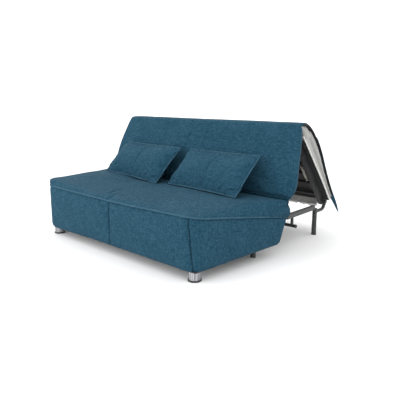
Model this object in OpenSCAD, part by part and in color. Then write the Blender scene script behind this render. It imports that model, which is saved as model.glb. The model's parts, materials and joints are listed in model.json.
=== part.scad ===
// Folding sofa bed: a seat section, a back section and a rear section hinged in a row.
// Each section is drawn lying flat, then turned about its hinge into the sofa position.

/* [Seat] */
// Seat width at the front, before its corners are rounded
seat_front_w = 1325; // [1290:5:1360]
// Seat width at the back
seat_rear_w = 1480; // [1460:5:1500]
// Depth of the seat's side skirts
skirt_d = 686; // [670:2:700]
// Radius of the seat's two front corners
corner_r = 87; // [70:1:100]
// Height of the front skirt's top edge
skirt_top_front = 320; // [300:2:322]
// Height of the side skirts' top edge at the back
skirt_top_rear = 221; // [216:1:240]
// Height of the skirt's lower edge at the front
skirt_low_front = 56; // [56:1:70]
// Height of the skirt's lower edge at the back
skirt_low_rear = 73; // [60:1:90]
// Thickness of the padded skirt panels
skirt_t = 25; // [20:1:26]

/* [Fold] */
// Distance of the seat and back hinge from the seat's front
hinge_y = 734; // [725:1:745]
// Height of the seat and back hinge
hinge_z = 200; // [196:1:204]
// Back section, hinge to hinge
back_len = 505; // [495:1:515]
// Angle of the back above the floor plane when it is a sofa
back_angle = 72; // [71:0.5:73]
// Angle of the rear section below the floor plane when it is a sofa
rear_angle = 51; // [50:0.5:52]

/* [Mattress] */
// Half the width of the mattress on the back and rear sections
matt_half_w = 680; // [676:1:700]
// Height of the mattress's underside above the hinge line
matt_lo = 14; // [14:0.5:16]
// Height of the mattress's top above the hinge line
matt_hi = 124; // [110:1:126]
// Thickness of the quilted covers
cover_t = 12; // [8:1:14]
// Half the width of the back cover
back_cover_half_w = 765; // [735:1:770]
// Half the width of the rear flap
flap_half_w = 700; // [690:1:720]
// Length of the rear flap, from the apex hinge
flap_len = 778; // [740:2:790]

/* [Frames] */
// Width of the rectangular side tubes
tube_w = 25; // [20:1:25]
// Height of the rectangular side tubes
tube_h = 30; // [26:1:30]
// Wall of every steel tube
wall = 2; // [1.5:0.25:3]
// Inner face of the back section's side tubes, from the centre plane
back_tube_x = 620; // [610:1:625]
// Diameter of the cross rails
rail_d = 20; // [16:1:20]
// Width of a slat
slat_w = 56; // [40:1:60]
// Thickness of a slat
slat_t = 7.5; // [6:0.5:8]
// Thickness of the hinge plates
plate_t = 5; // [3:0.5:6]
// Diameter of the hinge pins
pin_d = 10; // [8:0.5:12]

/* [Feet] */
// Diameter of the front feet
foot_d = 62; // [50:1:62]
// Distance of a front foot's centre from the seat's square corner, sideways
foot_in_x = 51; // [48:1:56]
// Distance of a front foot's centre from the seat's front
foot_in_y = 54; // [50:1:60]
// Diameter of the middle and rear legs
leg_d = 30; // [25:1:32]
// Distance of the middle legs from the seat's front
mid_leg_y = 523; // [480:1:560]
// Distance of the rear legs from the seat's front
rear_leg_y = 1149; // [1120:1:1165]

/* [Pillows] */
// Length of a pillow
pillow_l = 570; // [500:5:580]
// Height of a pillow
pillow_h = 300; // [260:5:310]
// Thickness of a pillow at its middle
pillow_t = 110; // [80:5:120]
// Centre of the right pillow, sideways
pillow_right_x = 285; // [285:5:320]
// Centre of the left pillow, sideways
pillow_left_x = -380; // [-400:5:-330]
// Lean of a pillow from lying flat
pillow_lean = 46; // [42:1:50]

/* [Hidden] */
$fn = 48;

play = 0.5;               // side gap between pieces that turn past each other
pin_play = 0.05;          // radial clearance of a pin in its hole
touch = 0.01;             // gap left where one tube's end is cut to sit on another

// Hinge line positions in the sofa position, as [y, z]
rear_len = back_len * sin(back_angle) / sin(rear_angle);
h1 = [hinge_y, hinge_z];
h2 = h1 + back_len * [cos(back_angle), sin(back_angle)];
h3 = h2 + rear_len * [cos(rear_angle), -sin(rear_angle)];

// Flap tip, which is the rearmost point, sets the depth that the origin halves
flap_tip = [flap_len, 40];
depth = h2[0] + flap_tip[0] * cos(rear_angle) + (flap_tip[1] + cover_t) * sin(rear_angle);

// Side tubes reach from below the hinge line to just above it
tube_top = 10;
rail_z = -8;
slat_z = 3;
holder_l = 32;
holder_lo = -1;
holder_hi = 13.5;
apex_setback = 42;        // side tubes stop short of the apex so that they fold past each other
end_past = 14;            // side tubes run past the pins at their lower ends
plate_r = 13;
plate_reach = 75;
plate_drop = 5;
plate_tip_r = 10;
pin_head = 3;
rear_tube_x = back_tube_x - play;
back_tube_out = back_tube_x + tube_w;
rear_tube_out = rear_tube_x + tube_w;

// Seat frame stands inboard of the back frame, inside the skirt
seat_tube_x = 585;
seat_rail_d = 25;
seat_front_y = 60;
seat_rear_rail_setback = 44;
seat_rear_rail_drop = 10;
seat_rear_rail_y = hinge_y - seat_rear_rail_setback;
seat_rear_rail_z = hinge_z - seat_rear_rail_drop;
seat_front_rail_in = 20;  // front rail's distance behind the side tubes' front ends

// Skirt: where the front panel ends, and how far the side panels' rear edge leans forward
skirt_split = 560;
skirt_lean = 59;
skirt_rear_low_y = skirt_d - skirt_lean;

// Cross rails of the two folding frames, from the nearer hinge
back_lower_rail_y = 60;
back_upper_rail_in = 75;
rear_upper_rail_y = 173.5;
rear_lower_rail_in = 80;

// Slat centres: along the seat from its front, and along each other section from its hinge
function slat_places(first, step, count) = [for (i = [0:count - 1]) first + i * step];
seat_slat_y = slat_places(125, 98, 6);
back_slat_y = slat_places(105, 92, 4);
rear_slat_y = slat_places(130, 87, 5);

// Outline of the seat seen from above, set in by off
side_slope = (seat_rear_w - seat_front_w) / 2 / skirt_d;
side_turn = atan(side_slope);
corner_steps = 10;
function seat_half_w(y, off = 0) = seat_front_w / 2 + side_slope * y - off / cos(side_turn);
function seat_corner(off) = [
    for (i = [0:corner_steps])
        let (a = -90 + i * (90 - side_turn) / corner_steps)
        [seat_half_w(corner_r, corner_r) + (corner_r - off) * cos(a), corner_r + (corner_r - off) * sin(a)]
];
function mirrored(pts) = [for (i = [len(pts) - 1:-1:0]) [-pts[i][0], pts[i][1]]];
function seat_plan(off, y_end) = let (half = concat(seat_corner(off), [[seat_half_w(y_end, off), y_end]]))
    concat(half, mirrored(half));

// Both mattress ends at the crease are cut along the plane that halves the fold
crease_half = back_angle / 2;
crease_gap = 0.5;
function crease_y(z) = z * tan(crease_half) + crease_gap;

// Rear mattress: rounded where the cover is drawn over the apex, thinner at its far end
round_r = 70;
round_steps = 8;
taper_from = 385;
taper_drop = 39;
matt_end = rear_len + 5;
function apex_round(grow) = [
    for (i = [0:round_steps])
        let (a = 180 - i * 90 / round_steps)
        [1 + round_r + (round_r + grow) * cos(a), matt_hi - round_r + (round_r + grow) * sin(a)]
];

// Legs under the rear section
arm_d = 22;
arm_boss_w = 26;
arm_x = rear_tube_out + play + arm_boss_w / 2;
arm_bend_r = 45;
arm_drop = 48;
leg_x = rear_tube_out + play + leg_d / 2;
rear_leg_top = 176;
cap_h = 10;
base_rail_w = 18;
base_rail_lo = 170;
base_rail_hi = 199;
base_rail_from = 805;
drop_y = 870;
cross_z = 118;
cross_half = 684;
mid_leg_x = seat_tube_x + tube_w + leg_d / 2;
mid_leg_top = 206;

// Springs beside the rear frame
spring_y = [286, 404];
spring_x = 600;
spring_z = -14;
spring_d = 14;
spring_eye_d = 20;
peg_d = 8;

// Front feet, each with a wider plastic ring below and a bracket above
foot_x = seat_front_w / 2 - foot_in_x;
foot_h = 50;
ring_h = 8;
ring_reach = 4;
bracket_t = 5;
bracket_w = 80;
bracket_l = 66;
bracket_lap = 20;         // how far the bracket reaches inboard of the side tube
bracket_back = 30;        // how far it reaches in front of the foot's centre

// Pillow placement
pillow_y = 560;
pillow_z = 458;
pillow_turn = -5;

module placed() { translate([0, -depth / 2, 0]) children(); }
module on_seat() { placed() translate([0, h1[0], h1[1]]) children(); }
module on_back() { placed() translate([0, h1[0], h1[1]]) rotate([back_angle, 0, 0]) children(); }
module on_rear() { placed() translate([0, h2[0], h2[1]]) rotate([-rear_angle, 0, 0]) children(); }
module on_legs() { placed() children(); }
module left_side() { mirror([1, 0, 0]) children(); }
module both_sides() { children(); mirror([1, 0, 0]) children(); }

// Turns a drawing in depth and height into a solid from x0 to x1
module across(x0, x1) { translate([x0, 0, 0]) rotate([90, 0, 90]) linear_extrude(x1 - x0) children(); }
module rod_x(x0, x1, d, y = 0, z = 0) { translate([x0, y, z]) rotate([0, 90, 0]) cylinder(d = d, h = x1 - x0); }
module pipe_x(x0, x1, d, y, z) {
    difference() {
        rod_x(x0, x1, d, y, z);
        rod_x(x0 - 1, x1 + 1, d - 2 * wall, y, z);
    }
}
module box_tube_y(x, y0, y1, bore_at = []) {
    difference() {
        translate([x, y0, tube_top - tube_h]) cube([tube_w, y1 - y0, tube_h]);
        translate([x + wall, y0 - 1, tube_top - tube_h + wall])
            cube([tube_w - 2 * wall, y1 - y0 + 2, tube_h - 2 * wall]);
        for (y = bore_at) rod_x(x - 1, x + tube_w + 1, pin_d + 2 * pin_play, y, 0);
    }
}
module slat_row(tube_x, ys) {
    for (y = ys)
        translate([-(tube_x - 8), y - slat_w / 2, slat_z]) cube([2 * (tube_x - 8), slat_w, slat_t]);
}
module holder_row(tube_x, ys) {
    both_sides() for (y = ys) difference() {
        translate([tube_x - holder_l, y - slat_w / 2 - 4, holder_lo])
            cube([holder_l, slat_w + 8, holder_hi - holder_lo]);
        translate([tube_x - holder_l - 1, y - slat_w / 2 - 0.2, slat_z - 0.2])
            cube([holder_l - 7 + 1, slat_w + 0.4, slat_t + 0.4]);
    }
}
// A flat link from the pin at the origin, to_y away along the section and to_z up
module link_plate(x0, to_y, to_z) {
    difference() {
        across(x0, x0 + plate_t) hull() {
            circle(plate_r, $fn = 32);
            translate([to_y, to_z]) circle(plate_tip_r, $fn = 32);
        }
        rod_x(x0 - 1, x0 + plate_t + 1, pin_d + 2 * pin_play);
    }
}
// A pin with a head at both ends, its shank from x0 to x1
module headed_pin(x0, x1, y = 0, z = 0) {
    rod_x(x0 - pin_head, x1 + pin_head, pin_d, y, z);
    for (x = [x0 - pin_head, x1]) rod_x(x, x + pin_head, pin_d + 2 * pin_head, y, z);
}

// ---- Seat section ----
module seat_side_tube() {
    on_seat() box_tube_y(seat_tube_x, seat_front_y - hinge_y, seat_rear_rail_y - seat_rail_d / 2 - hinge_y);
}
module seat_side_tube_left() { color("dimgray") left_side() seat_side_tube(); }
module seat_side_tube_right() { color("dimgray") seat_side_tube(); }
module seat_front_rail() {
    color("dimgray") on_seat()
        pipe_x(-seat_tube_x, seat_tube_x, rail_d, seat_front_y + seat_front_rail_in - hinge_y, rail_z);
}
module seat_rear_rail() {
    color("dimgray") on_seat()
        pipe_x(-back_tube_out - play, back_tube_out + play, seat_rail_d,
            seat_rear_rail_y - hinge_y, seat_rear_rail_z - hinge_z);
}
module seat_slats() {
    color("#3a3634") on_seat() slat_row(seat_tube_x, [for (y = seat_slat_y) y - hinge_y]);
}
module seat_slat_holders() {
    color("#202020") on_seat() holder_row(seat_tube_x, [for (y = seat_slat_y) y - hinge_y]);
}
module seat_mattress() {
    color("whitesmoke") placed() intersection() {
        translate([0, 0, hinge_z]) linear_extrude(matt_hi) polygon(seat_plan(skirt_t + 2, hinge_y));
        across(-seat_rear_w, seat_rear_w) polygon([
            [0, hinge_z + matt_lo], [hinge_y - crease_y(matt_lo), hinge_z + matt_lo],
            [hinge_y - crease_y(matt_hi), hinge_z + matt_hi], [0, hinge_z + matt_hi]
        ]);
    }
}
module seat_cover() {
    color("#2c5d78") placed() intersection() {
        translate([0, 0, hinge_z]) linear_extrude(matt_hi + 2 * cover_t) polygon(seat_plan(2, hinge_y));
        across(-seat_rear_w, seat_rear_w) polygon([
            [-1, hinge_z + matt_hi + 0.3], [hinge_y - crease_y(matt_hi + 0.3), hinge_z + matt_hi + 0.3],
            [hinge_y - crease_y(matt_hi + cover_t), hinge_z + matt_hi + cover_t],
            [-1, hinge_z + matt_hi + cover_t]
        ]);
    }
}
module skirt_ring() {
    intersection() {
        linear_extrude(skirt_top_front) difference() {
            polygon(seat_plan(0, skirt_d));
            polygon(seat_plan(skirt_t, skirt_d + 1));
        }
        across(-seat_rear_w, seat_rear_w) polygon([
            [0, skirt_low_front], [skirt_rear_low_y, skirt_low_rear],
            [skirt_d, skirt_top_rear], [0, skirt_top_front]
        ]);
    }
}
module skirt_front() {
    color("#2c5d78") placed() intersection() {
        skirt_ring();
        translate([-skirt_split, -1, 0]) cube([2 * skirt_split, 2 * skirt_t, 2 * skirt_top_front]);
    }
}
module skirt_side() {
    placed() intersection() {
        skirt_ring();
        translate([skirt_split + 0.2, -1, 0]) cube([seat_rear_w, 2 * skirt_d, 2 * skirt_top_front]);
    }
}
module skirt_left() { color("#2c5d78") left_side() skirt_side(); }
module skirt_right() { color("#2c5d78") skirt_side(); }

module foot_bracket() {
    post_top = hinge_z + tube_top - tube_h;
    placed() {
        translate([seat_tube_x - bracket_lap, foot_in_y - bracket_back, foot_h])
            cube([bracket_w, bracket_l, bracket_t]);
        translate([seat_tube_x, seat_front_y, foot_h + bracket_t]) difference() {
            cube([tube_w, tube_w, post_top - foot_h - bracket_t]);
            translate([wall, wall, -1]) cube([tube_w - 2 * wall, tube_w - 2 * wall, post_top]);
        }
    }
}
module foot_bracket_left() { color("dimgray") left_side() foot_bracket(); }
module foot_bracket_right() { color("dimgray") foot_bracket(); }
module front_foot() {
    placed() translate([foot_x, foot_in_y, ring_h]) rotate_extrude() polygon([
        [0, 0], [foot_d / 2, 0], [foot_d / 2, foot_h - ring_h - 1],
        [foot_d / 2 - 1, foot_h - ring_h], [0, foot_h - ring_h]
    ]);
}
module front_foot_left() { color("silver") left_side() front_foot(); }
module front_foot_right() { color("silver") front_foot(); }
module foot_rings() {
    color("#181818") both_sides() placed() translate([foot_x, foot_in_y, 0]) rotate_extrude() polygon([
        [0, 0], [foot_d / 2 + ring_reach - 2, 0], [foot_d / 2 + ring_reach, 2],
        [foot_d / 2 + ring_reach, ring_h - 1], [foot_d / 2 + ring_reach - 1, ring_h], [0, ring_h]
    ]);
}
module mid_leg() {
    placed() translate([mid_leg_x, mid_leg_y, cap_h]) difference() {
        cylinder(d = leg_d, h = mid_leg_top - cap_h);
        translate([0, 0, -1]) cylinder(d = leg_d - 2 * wall, h = mid_leg_top);
    }
}
module mid_leg_left() { color("dimgray") left_side() mid_leg(); }
module mid_leg_right() { color("dimgray") mid_leg(); }
module leg_cap(x, y) {
    translate([x, y, 0]) cylinder(d = leg_d + 2, h = cap_h);
}
module mid_leg_caps() { color("#181818") both_sides() placed() leg_cap(mid_leg_x, mid_leg_y); }
module seat_hinge_plates() {
    color("dimgray") both_sides() on_seat()
        link_plate(back_tube_out + play, seat_rear_rail_y - hinge_y, seat_rear_rail_z - hinge_z);
}
module seat_hinge_pins() {
    color("silver") both_sides() on_seat()
        headed_pin(back_tube_x - play, back_tube_out + play + plate_t);
}

// ---- Back section ----
module back_side_tube() {
    on_back() box_tube_y(back_tube_x, -end_past, back_len - apex_setback, [0]);
}
module back_side_tube_left() { color("dimgray") left_side() back_side_tube(); }
module back_side_tube_right() { color("dimgray") back_side_tube(); }
module back_rail(y) { on_back() pipe_x(-back_tube_x, back_tube_x, rail_d, y, rail_z); }
module back_lower_rail() { color("dimgray") back_rail(back_lower_rail_y); }
module back_upper_rail() { color("dimgray") back_rail(back_len - back_upper_rail_in); }
module back_slats() { color("#3a3634") on_back() slat_row(back_tube_x, back_slat_y); }
module back_slat_holders() { color("#202020") on_back() holder_row(back_tube_x, back_slat_y); }
module back_mattress() {
    color("whitesmoke") on_back() across(-matt_half_w, matt_half_w) polygon([
        [crease_y(matt_lo), matt_lo], [back_len - 1, matt_lo],
        [back_len - 1, matt_hi - 20], [back_len - 12, matt_hi],
        [crease_y(matt_hi), matt_hi]
    ]);
}
module back_cover() {
    lo = matt_hi + 0.3;
    hi = matt_hi + cover_t;
    color("#2c5d78") on_back() across(-back_cover_half_w, back_cover_half_w) polygon([
        [crease_y(lo), lo], [back_len - 1, lo], [back_len - 1, hi], [crease_y(hi), hi]
    ]);
}
module back_apex_plates() {
    color("dimgray") both_sides() on_back() translate([0, back_len, 0])
        link_plate(back_tube_out, -plate_reach, -plate_drop);
}
module apex_pins() {
    color("silver") both_sides() on_back()
        headed_pin(rear_tube_x - plate_t - play, back_tube_out + plate_t, back_len);
}

// ---- Rear section ----
module rear_side_tube() {
    on_rear() box_tube_y(rear_tube_x, apex_setback, rear_len + end_past, [rear_len]);
}
module rear_side_tube_left() { color("dimgray") left_side() rear_side_tube(); }
module rear_side_tube_right() { color("dimgray") rear_side_tube(); }
module rear_rail(y) { on_rear() pipe_x(-rear_tube_x, rear_tube_x, rail_d, y, rail_z); }
module rear_upper_rail() { color("dimgray") rear_rail(rear_upper_rail_y); }
module rear_lower_rail() { color("dimgray") rear_rail(rear_len - rear_lower_rail_in); }
module rear_slats() { color("#3a3634") on_rear() slat_row(rear_tube_x, rear_slat_y); }
module rear_slat_holders() { color("#202020") on_rear() holder_row(rear_tube_x, rear_slat_y); }
module rear_mattress() {
    color("whitesmoke") on_rear() across(-matt_half_w, matt_half_w) polygon(concat(
        [[1, matt_lo]], apex_round(0),
        [[taper_from, matt_hi], [matt_end, matt_hi - taper_drop], [matt_end, matt_lo]]
    ));
}
module rear_flap() {
    inner = concat(apex_round(0.4), [[taper_from, matt_hi + 0.4], [matt_end, matt_hi - taper_drop + 0.4]]);
    outer = concat(apex_round(cover_t), [
        [taper_from, matt_hi + cover_t], [matt_end + 4, matt_hi - taper_drop + cover_t]
    ]);
    color("#2c5d78") on_rear() across(-flap_half_w, flap_half_w) polygon(concat(
        [for (p = inner) [max(p[0], 1), p[1]]],
        [flap_tip, flap_tip + [0, cover_t]],
        [for (i = [len(outer) - 1:-1:0]) [max(outer[i][0], 1), outer[i][1]]]
    ));
}
module rear_apex_plates() {
    color("dimgray") both_sides() on_rear() link_plate(rear_tube_x - plate_t, plate_reach, -plate_drop);
}
module spring_pegs() {
    color("silver") both_sides() on_rear()
        for (y = spring_y) rod_x(spring_x - 6, rear_tube_x, peg_d, y, spring_z);
}
module frame_springs() {
    color("ivory") both_sides() on_rear() {
        translate([spring_x, spring_y[0] + 9, spring_z]) rotate([-90, 0, 0])
            cylinder(d = spring_d, h = spring_y[1] - spring_y[0] - 18);
        for (y = spring_y) difference() {
            rod_x(spring_x - 2, spring_x + 2, spring_eye_d, y, spring_z);
            rod_x(spring_x - 3, spring_x + 3, peg_d + 2 * pin_play, y, spring_z);
        }
    }
}

// ---- Rear legs: stay upright while they carry the rear section outwards ----
module rear_leg() {
    on_legs() translate([leg_x, rear_leg_y, cap_h]) difference() {
        cylinder(d = leg_d, h = rear_leg_top - cap_h);
        translate([0, 0, -1]) cylinder(d = leg_d - 2 * wall, h = rear_leg_top - cap_h - wall);
    }
}
module rear_leg_left() { color("#4a4c4e") left_side() rear_leg(); }
module rear_leg_right() { color("#4a4c4e") rear_leg(); }
module leg_arm() {
    low_z = h3[1] - arm_drop;
    bend_y = h3[0] - arm_bend_r;
    on_legs() difference() {
        union() {
            translate([arm_x, bend_y, low_z]) {
                rotate([90, 0, 0]) cylinder(d = arm_d, h = bend_y - rear_leg_y);
                translate([0, 0, arm_bend_r]) rotate([0, 90, 0])
                    rotate_extrude(angle = 90) translate([arm_bend_r, 0]) circle(d = arm_d);
            }
            rod_x(arm_x - arm_boss_w / 2, arm_x + arm_boss_w / 2, 2 * plate_r, h3[0], h3[1]);
        }
        rod_x(arm_x - arm_d, arm_x + arm_d, pin_d + 2 * pin_play, h3[0], h3[1]);
        translate([leg_x, rear_leg_y, 0]) cylinder(d = leg_d + 2 * touch, h = rear_leg_top);
    }
}
module leg_arm_left() { color("#4a4c4e") left_side() leg_arm(); }
module leg_arm_right() { color("#4a4c4e") leg_arm(); }
module base_rail() {
    length = rear_leg_y - leg_d / 2 - base_rail_from;
    on_legs() translate([leg_x - base_rail_w / 2, base_rail_from, base_rail_lo]) difference() {
        cube([base_rail_w, length, base_rail_hi - base_rail_lo]);
        translate([wall, -1, wall])
            cube([base_rail_w - 2 * wall, length - 4, base_rail_hi - base_rail_lo - 2 * wall]);
    }
}
module base_rail_left() { color("#4a4c4e") left_side() base_rail(); }
module base_rail_right() { color("#4a4c4e") base_rail(); }
module base_drop_tubes() {
    color("#202020") both_sides() on_legs() difference() {
        translate([leg_x, drop_y, cross_z]) cylinder(d = base_rail_w, h = base_rail_lo - cross_z);
        rod_x(leg_x - leg_d, leg_x + leg_d, rail_d + 2 * touch, drop_y, cross_z);
    }
}
module base_cross_tube() { color("#202020") on_legs() pipe_x(-cross_half, cross_half, rail_d, drop_y, cross_z); }
module rear_leg_caps() { color("#181818") both_sides() on_legs() leg_cap(leg_x, rear_leg_y); }
module cross_tube_caps() {
    color("#101010") both_sides() on_legs() rod_x(cross_half, cross_half + 6, rail_d + 2, drop_y, cross_z);
}
module base_pins() {
    color("silver") both_sides() on_legs()
        headed_pin(rear_tube_x - play, arm_x + arm_boss_w / 2, h3[0], h3[1]);
}

// ---- Pillows ----
module pillow(x) {
    placed() translate([x, pillow_y, pillow_z]) rotate([pillow_lean, 0, pillow_turn]) hull() {
        cube([pillow_l - 20, pillow_h - 12, 10], center = true);
        scale([pillow_l * 0.8 / pillow_t, pillow_h * 0.82 / pillow_t, 1]) sphere(d = pillow_t, $fn = 32);
    }
}
module pillow_left() { color("#2c5d78") pillow(pillow_left_x); }
module pillow_right() { color("#2c5d78") pillow(pillow_right_x); }

seat_side_tube_left();
seat_side_tube_right();
seat_front_rail();
seat_rear_rail();
seat_slats();
seat_slat_holders();
seat_mattress();
seat_cover();
skirt_front();
skirt_left();
skirt_right();
foot_bracket_left();
foot_bracket_right();
front_foot_left();
front_foot_right();
foot_rings();
mid_leg_left();
mid_leg_right();
mid_leg_caps();
seat_hinge_plates();
seat_hinge_pins();
back_side_tube_left();
back_side_tube_right();
back_lower_rail();
back_upper_rail();
back_slats();
back_slat_holders();
back_mattress();
back_cover();
back_apex_plates();
apex_pins();
rear_side_tube_left();
rear_side_tube_right();
rear_upper_rail();
rear_lower_rail();
rear_slats();
rear_slat_holders();
rear_mattress();
rear_flap();
rear_apex_plates();
spring_pegs();
frame_springs();
rear_leg_left();
rear_leg_right();
leg_arm_left();
leg_arm_right();
base_rail_left();
base_rail_right();
base_drop_tubes();
base_cross_tube();
rear_leg_caps();
cross_tube_caps();
base_pins();
pillow_left();
pillow_right();
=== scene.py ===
"""The looks of a folding sofa bed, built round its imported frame. Lengths are in metres."""
import json
import math
from itertools import product

import bmesh
import bpy
import numpy as np
from mathutils import Matrix, Vector, noise


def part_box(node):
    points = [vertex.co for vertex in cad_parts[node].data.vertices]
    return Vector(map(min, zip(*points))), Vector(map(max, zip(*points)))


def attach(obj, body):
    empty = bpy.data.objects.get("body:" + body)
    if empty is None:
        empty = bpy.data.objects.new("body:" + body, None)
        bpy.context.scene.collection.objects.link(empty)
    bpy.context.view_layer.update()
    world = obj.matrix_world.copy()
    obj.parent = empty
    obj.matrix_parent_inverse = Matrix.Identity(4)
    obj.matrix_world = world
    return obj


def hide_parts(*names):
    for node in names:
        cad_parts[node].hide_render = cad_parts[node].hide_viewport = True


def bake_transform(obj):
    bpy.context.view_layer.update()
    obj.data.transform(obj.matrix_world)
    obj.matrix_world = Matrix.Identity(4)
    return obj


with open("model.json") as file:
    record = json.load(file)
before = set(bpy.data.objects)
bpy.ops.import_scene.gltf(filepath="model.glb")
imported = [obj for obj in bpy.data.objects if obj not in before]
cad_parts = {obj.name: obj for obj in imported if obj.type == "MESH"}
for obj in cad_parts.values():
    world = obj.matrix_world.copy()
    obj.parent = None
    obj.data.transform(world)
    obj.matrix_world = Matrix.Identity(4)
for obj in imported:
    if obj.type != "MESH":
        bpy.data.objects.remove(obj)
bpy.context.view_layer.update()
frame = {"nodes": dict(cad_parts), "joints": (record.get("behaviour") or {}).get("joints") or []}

# ---- Places, from the frame's joints and boxes ----
joints = {joint["name"]: joint for joint in frame["joints"]}
seat_hinge = Vector(joints["back_fold"]["pos_m"])
apex_hinge = Vector(joints["rear_fold"]["pos_m"])
foot_hinge = Vector(joints["leg_fold"]["pos_m"])
back_tilt = math.radians(joints["back_fold"]["range_deg"][1])
rear_tilt = math.radians(joints["rear_fold"]["range_deg"][1]) - back_tilt
back_len = (apex_hinge - seat_hinge).length
rear_len = (foot_hinge - apex_hinge).length
front_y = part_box("skirt_front")[0].y
skirt_back_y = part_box("skirt_right")[1].y
skirt_d = skirt_back_y - front_y
seat_rear_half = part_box("skirt_right")[1].x
skirt_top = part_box("skirt_front")[1].z
seat_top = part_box("seat_cover")[1].z
mattress_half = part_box("back_mattress")[1].x
flap_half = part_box("rear_flap")[1].x
mattress_under = 0.014
mattress_over = seat_top - seat_hinge.z

# ---- The seat's plan ----
seat_front_half = 0.6625
corner_r = 0.087
side_turn = math.atan2(seat_rear_half - seat_front_half, skirt_d)
side_slope = math.tan(side_turn)
skirt_top_rear = 0.221
skirt_low_front = 0.056
skirt_low_rear = 0.073
skirt_rear_lean = 0.059
skirt_t = 0.025
seam_x = 0.004


def smooth_step(value):
    value = np.clip(value, 0, 1)
    return value * value * (3 - 2 * value)


def together(*parts):
    """Points with the parts as their coordinates, spread to one shape."""
    return np.stack(np.broadcast_arrays(*parts), axis=-1)


def half_width(deep):
    """Half the seat's width at a distance behind its front."""
    return seat_front_half + side_slope * deep


def skirt_edge(deep, x):
    """Height of the skirt's top edge, where the piping runs. It rises a little towards the front corners."""
    back = np.clip(deep / skirt_d, 0, 1)
    corner = smooth_step((np.abs(x) - 0.1) / 0.52)
    lift = np.where(np.asarray(x) > 0, 0.01, 0.005) * corner * (1 - back ** 2)
    return skirt_top + (skirt_top_rear - skirt_top) * back + lift


def on_section(hinge, tilt, x, along, out):
    """Points on a section that leaves its hinge at tilt above the floor plane."""
    return together(x, hinge.y + along * math.cos(tilt) - out * math.sin(tilt),
                    hinge.z + along * math.sin(tilt) + out * math.cos(tilt))


def on_seat(x, deep, z):
    return together(x, front_y + deep, z)


def on_back(x, along, out):
    return on_section(seat_hinge, back_tilt, x, along, out)


def on_rear(x, along, out):
    return on_section(apex_hinge, -rear_tilt, x, along, out)


# ---- Materials ----
def wire(tree, kind, inputs=None, **settings):
    """Adds a node, and fills its inputs with values or with other nodes' outputs."""
    node = tree.nodes.new("ShaderNode" + kind)
    for name, value in settings.items():
        setattr(node, name, value)
    for name, value in (inputs or {}).items():
        if isinstance(value, bpy.types.NodeSocket):
            tree.links.new(value, node.inputs[name])
        else:
            node.inputs[name].default_value = value
    return node


def new_material(name, **constants):
    """A material with one Principled shader, whose constants sit on its own sockets."""
    made = bpy.data.materials.new(name)
    made.use_nodes = True
    tree = made.node_tree
    tree.nodes.clear()
    shader = wire(tree, "BsdfPrincipled", {k.replace("_", " "): v for k, v in constants.items()})
    output = wire(tree, "OutputMaterial")
    tree.links.new(shader.outputs["BSDF"], output.inputs["Surface"])
    return made, tree, shader


def math_node(tree, operation, a, b=0.0):
    return wire(tree, "Math", {0: a, 1: b}, operation=operation).outputs[0]


def times(tree, a, b):
    return math_node(tree, "MULTIPLY", a, b)


def plus(tree, total, *others):
    for other in others:
        total = math_node(tree, "ADD", total, other)
    return total


def streaks(tree, place, stretch, scale, detail=2.0):
    """Noise drawn out along the axes where stretch is small."""
    drawn = wire(tree, "Mapping", {"Vector": place, "Scale": stretch}).outputs["Vector"]
    return wire(tree, "TexNoise", {"Vector": drawn, "Scale": scale, "Detail": detail}).outputs["Fac"]


def ramp(tree, value, low, high, to_low=0.0, to_high=1.0):
    """Value's range from low to high spread over to_low to to_high, and clamped."""
    return wire(tree, "MapRange", {"Value": value, "From Min": low, "From Max": high,
                                   "To Min": to_low, "To Max": to_high}).outputs["Result"]


def raise_bumps(tree, shader, height, strength, distance):
    bump = wire(tree, "Bump", {"Height": height, "Strength": strength, "Distance": distance})
    tree.links.new(bump.outputs["Normal"], shader.inputs["Normal"])


thread_stretch = ((0.13, 1.0, 1.0), (1.0, 0.13, 1.0), (1.0, 1.0, 0.13))
patch_share, fleck_share = 0.1, 0.26
tone_reach = 0.115


def woven(name, dark, mid, light, pitch, weave_depth, slub, sheen=(0.1, 0.5), specular=0.2, **constants):
    """Cloth of crossing threads, each a little lighter or darker than the next."""
    made, tree, shader = new_material(name, Sheen_Weight=sheen[0], Sheen_Roughness=sheen[1],
                                      Specular_IOR_Level=specular, **constants)
    place = wire(tree, "TexCoord").outputs["Object"]
    runs = [streaks(tree, place, stretch, 0.62 / pitch, 1.0) for stretch in thread_stretch]
    patches = streaks(tree, place, (1.0, 1.0, 1.0), 7.0, 3.0)
    flecks = streaks(tree, place, (1.0, 1.0, 1.0), 150.0, 2.0)
    threads = times(tree, plus(tree, *runs), 1 / 3)
    mottle = plus(tree, times(tree, threads, slub), times(tree, flecks, fleck_share),
                  times(tree, patches, patch_share))
    centre = 0.5 * (slub + fleck_share + patch_share)
    tone = ramp(tree, mottle, centre - tone_reach, centre + tone_reach)
    colour = wire(tree, "ValToRGB", {"Fac": tone})
    stops = colour.color_ramp.elements
    stops[0].color, stops[1].color = (*dark, 1), (*light, 1)
    stops.new(0.5).color = (*mid, 1)
    tree.links.new(colour.outputs["Color"], shader.inputs["Base Color"])
    split = wire(tree, "SeparateXYZ", {"Vector": place}).outputs
    warp, weft = (math_node(tree, "SINE", times(tree, plus(tree, split[axis], split["Y"]), math.tau / pitch))
                  for axis in ("X", "Z"))
    relief = plus(tree, times(tree, times(tree, warp, weft), 0.5), threads)
    raise_bumps(tree, shader, relief, 0.55, weave_depth)
    tree.links.new(ramp(tree, tone, 0.0, 1.0, 0.96, 0.82), shader.inputs["Roughness"])
    return made


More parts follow.
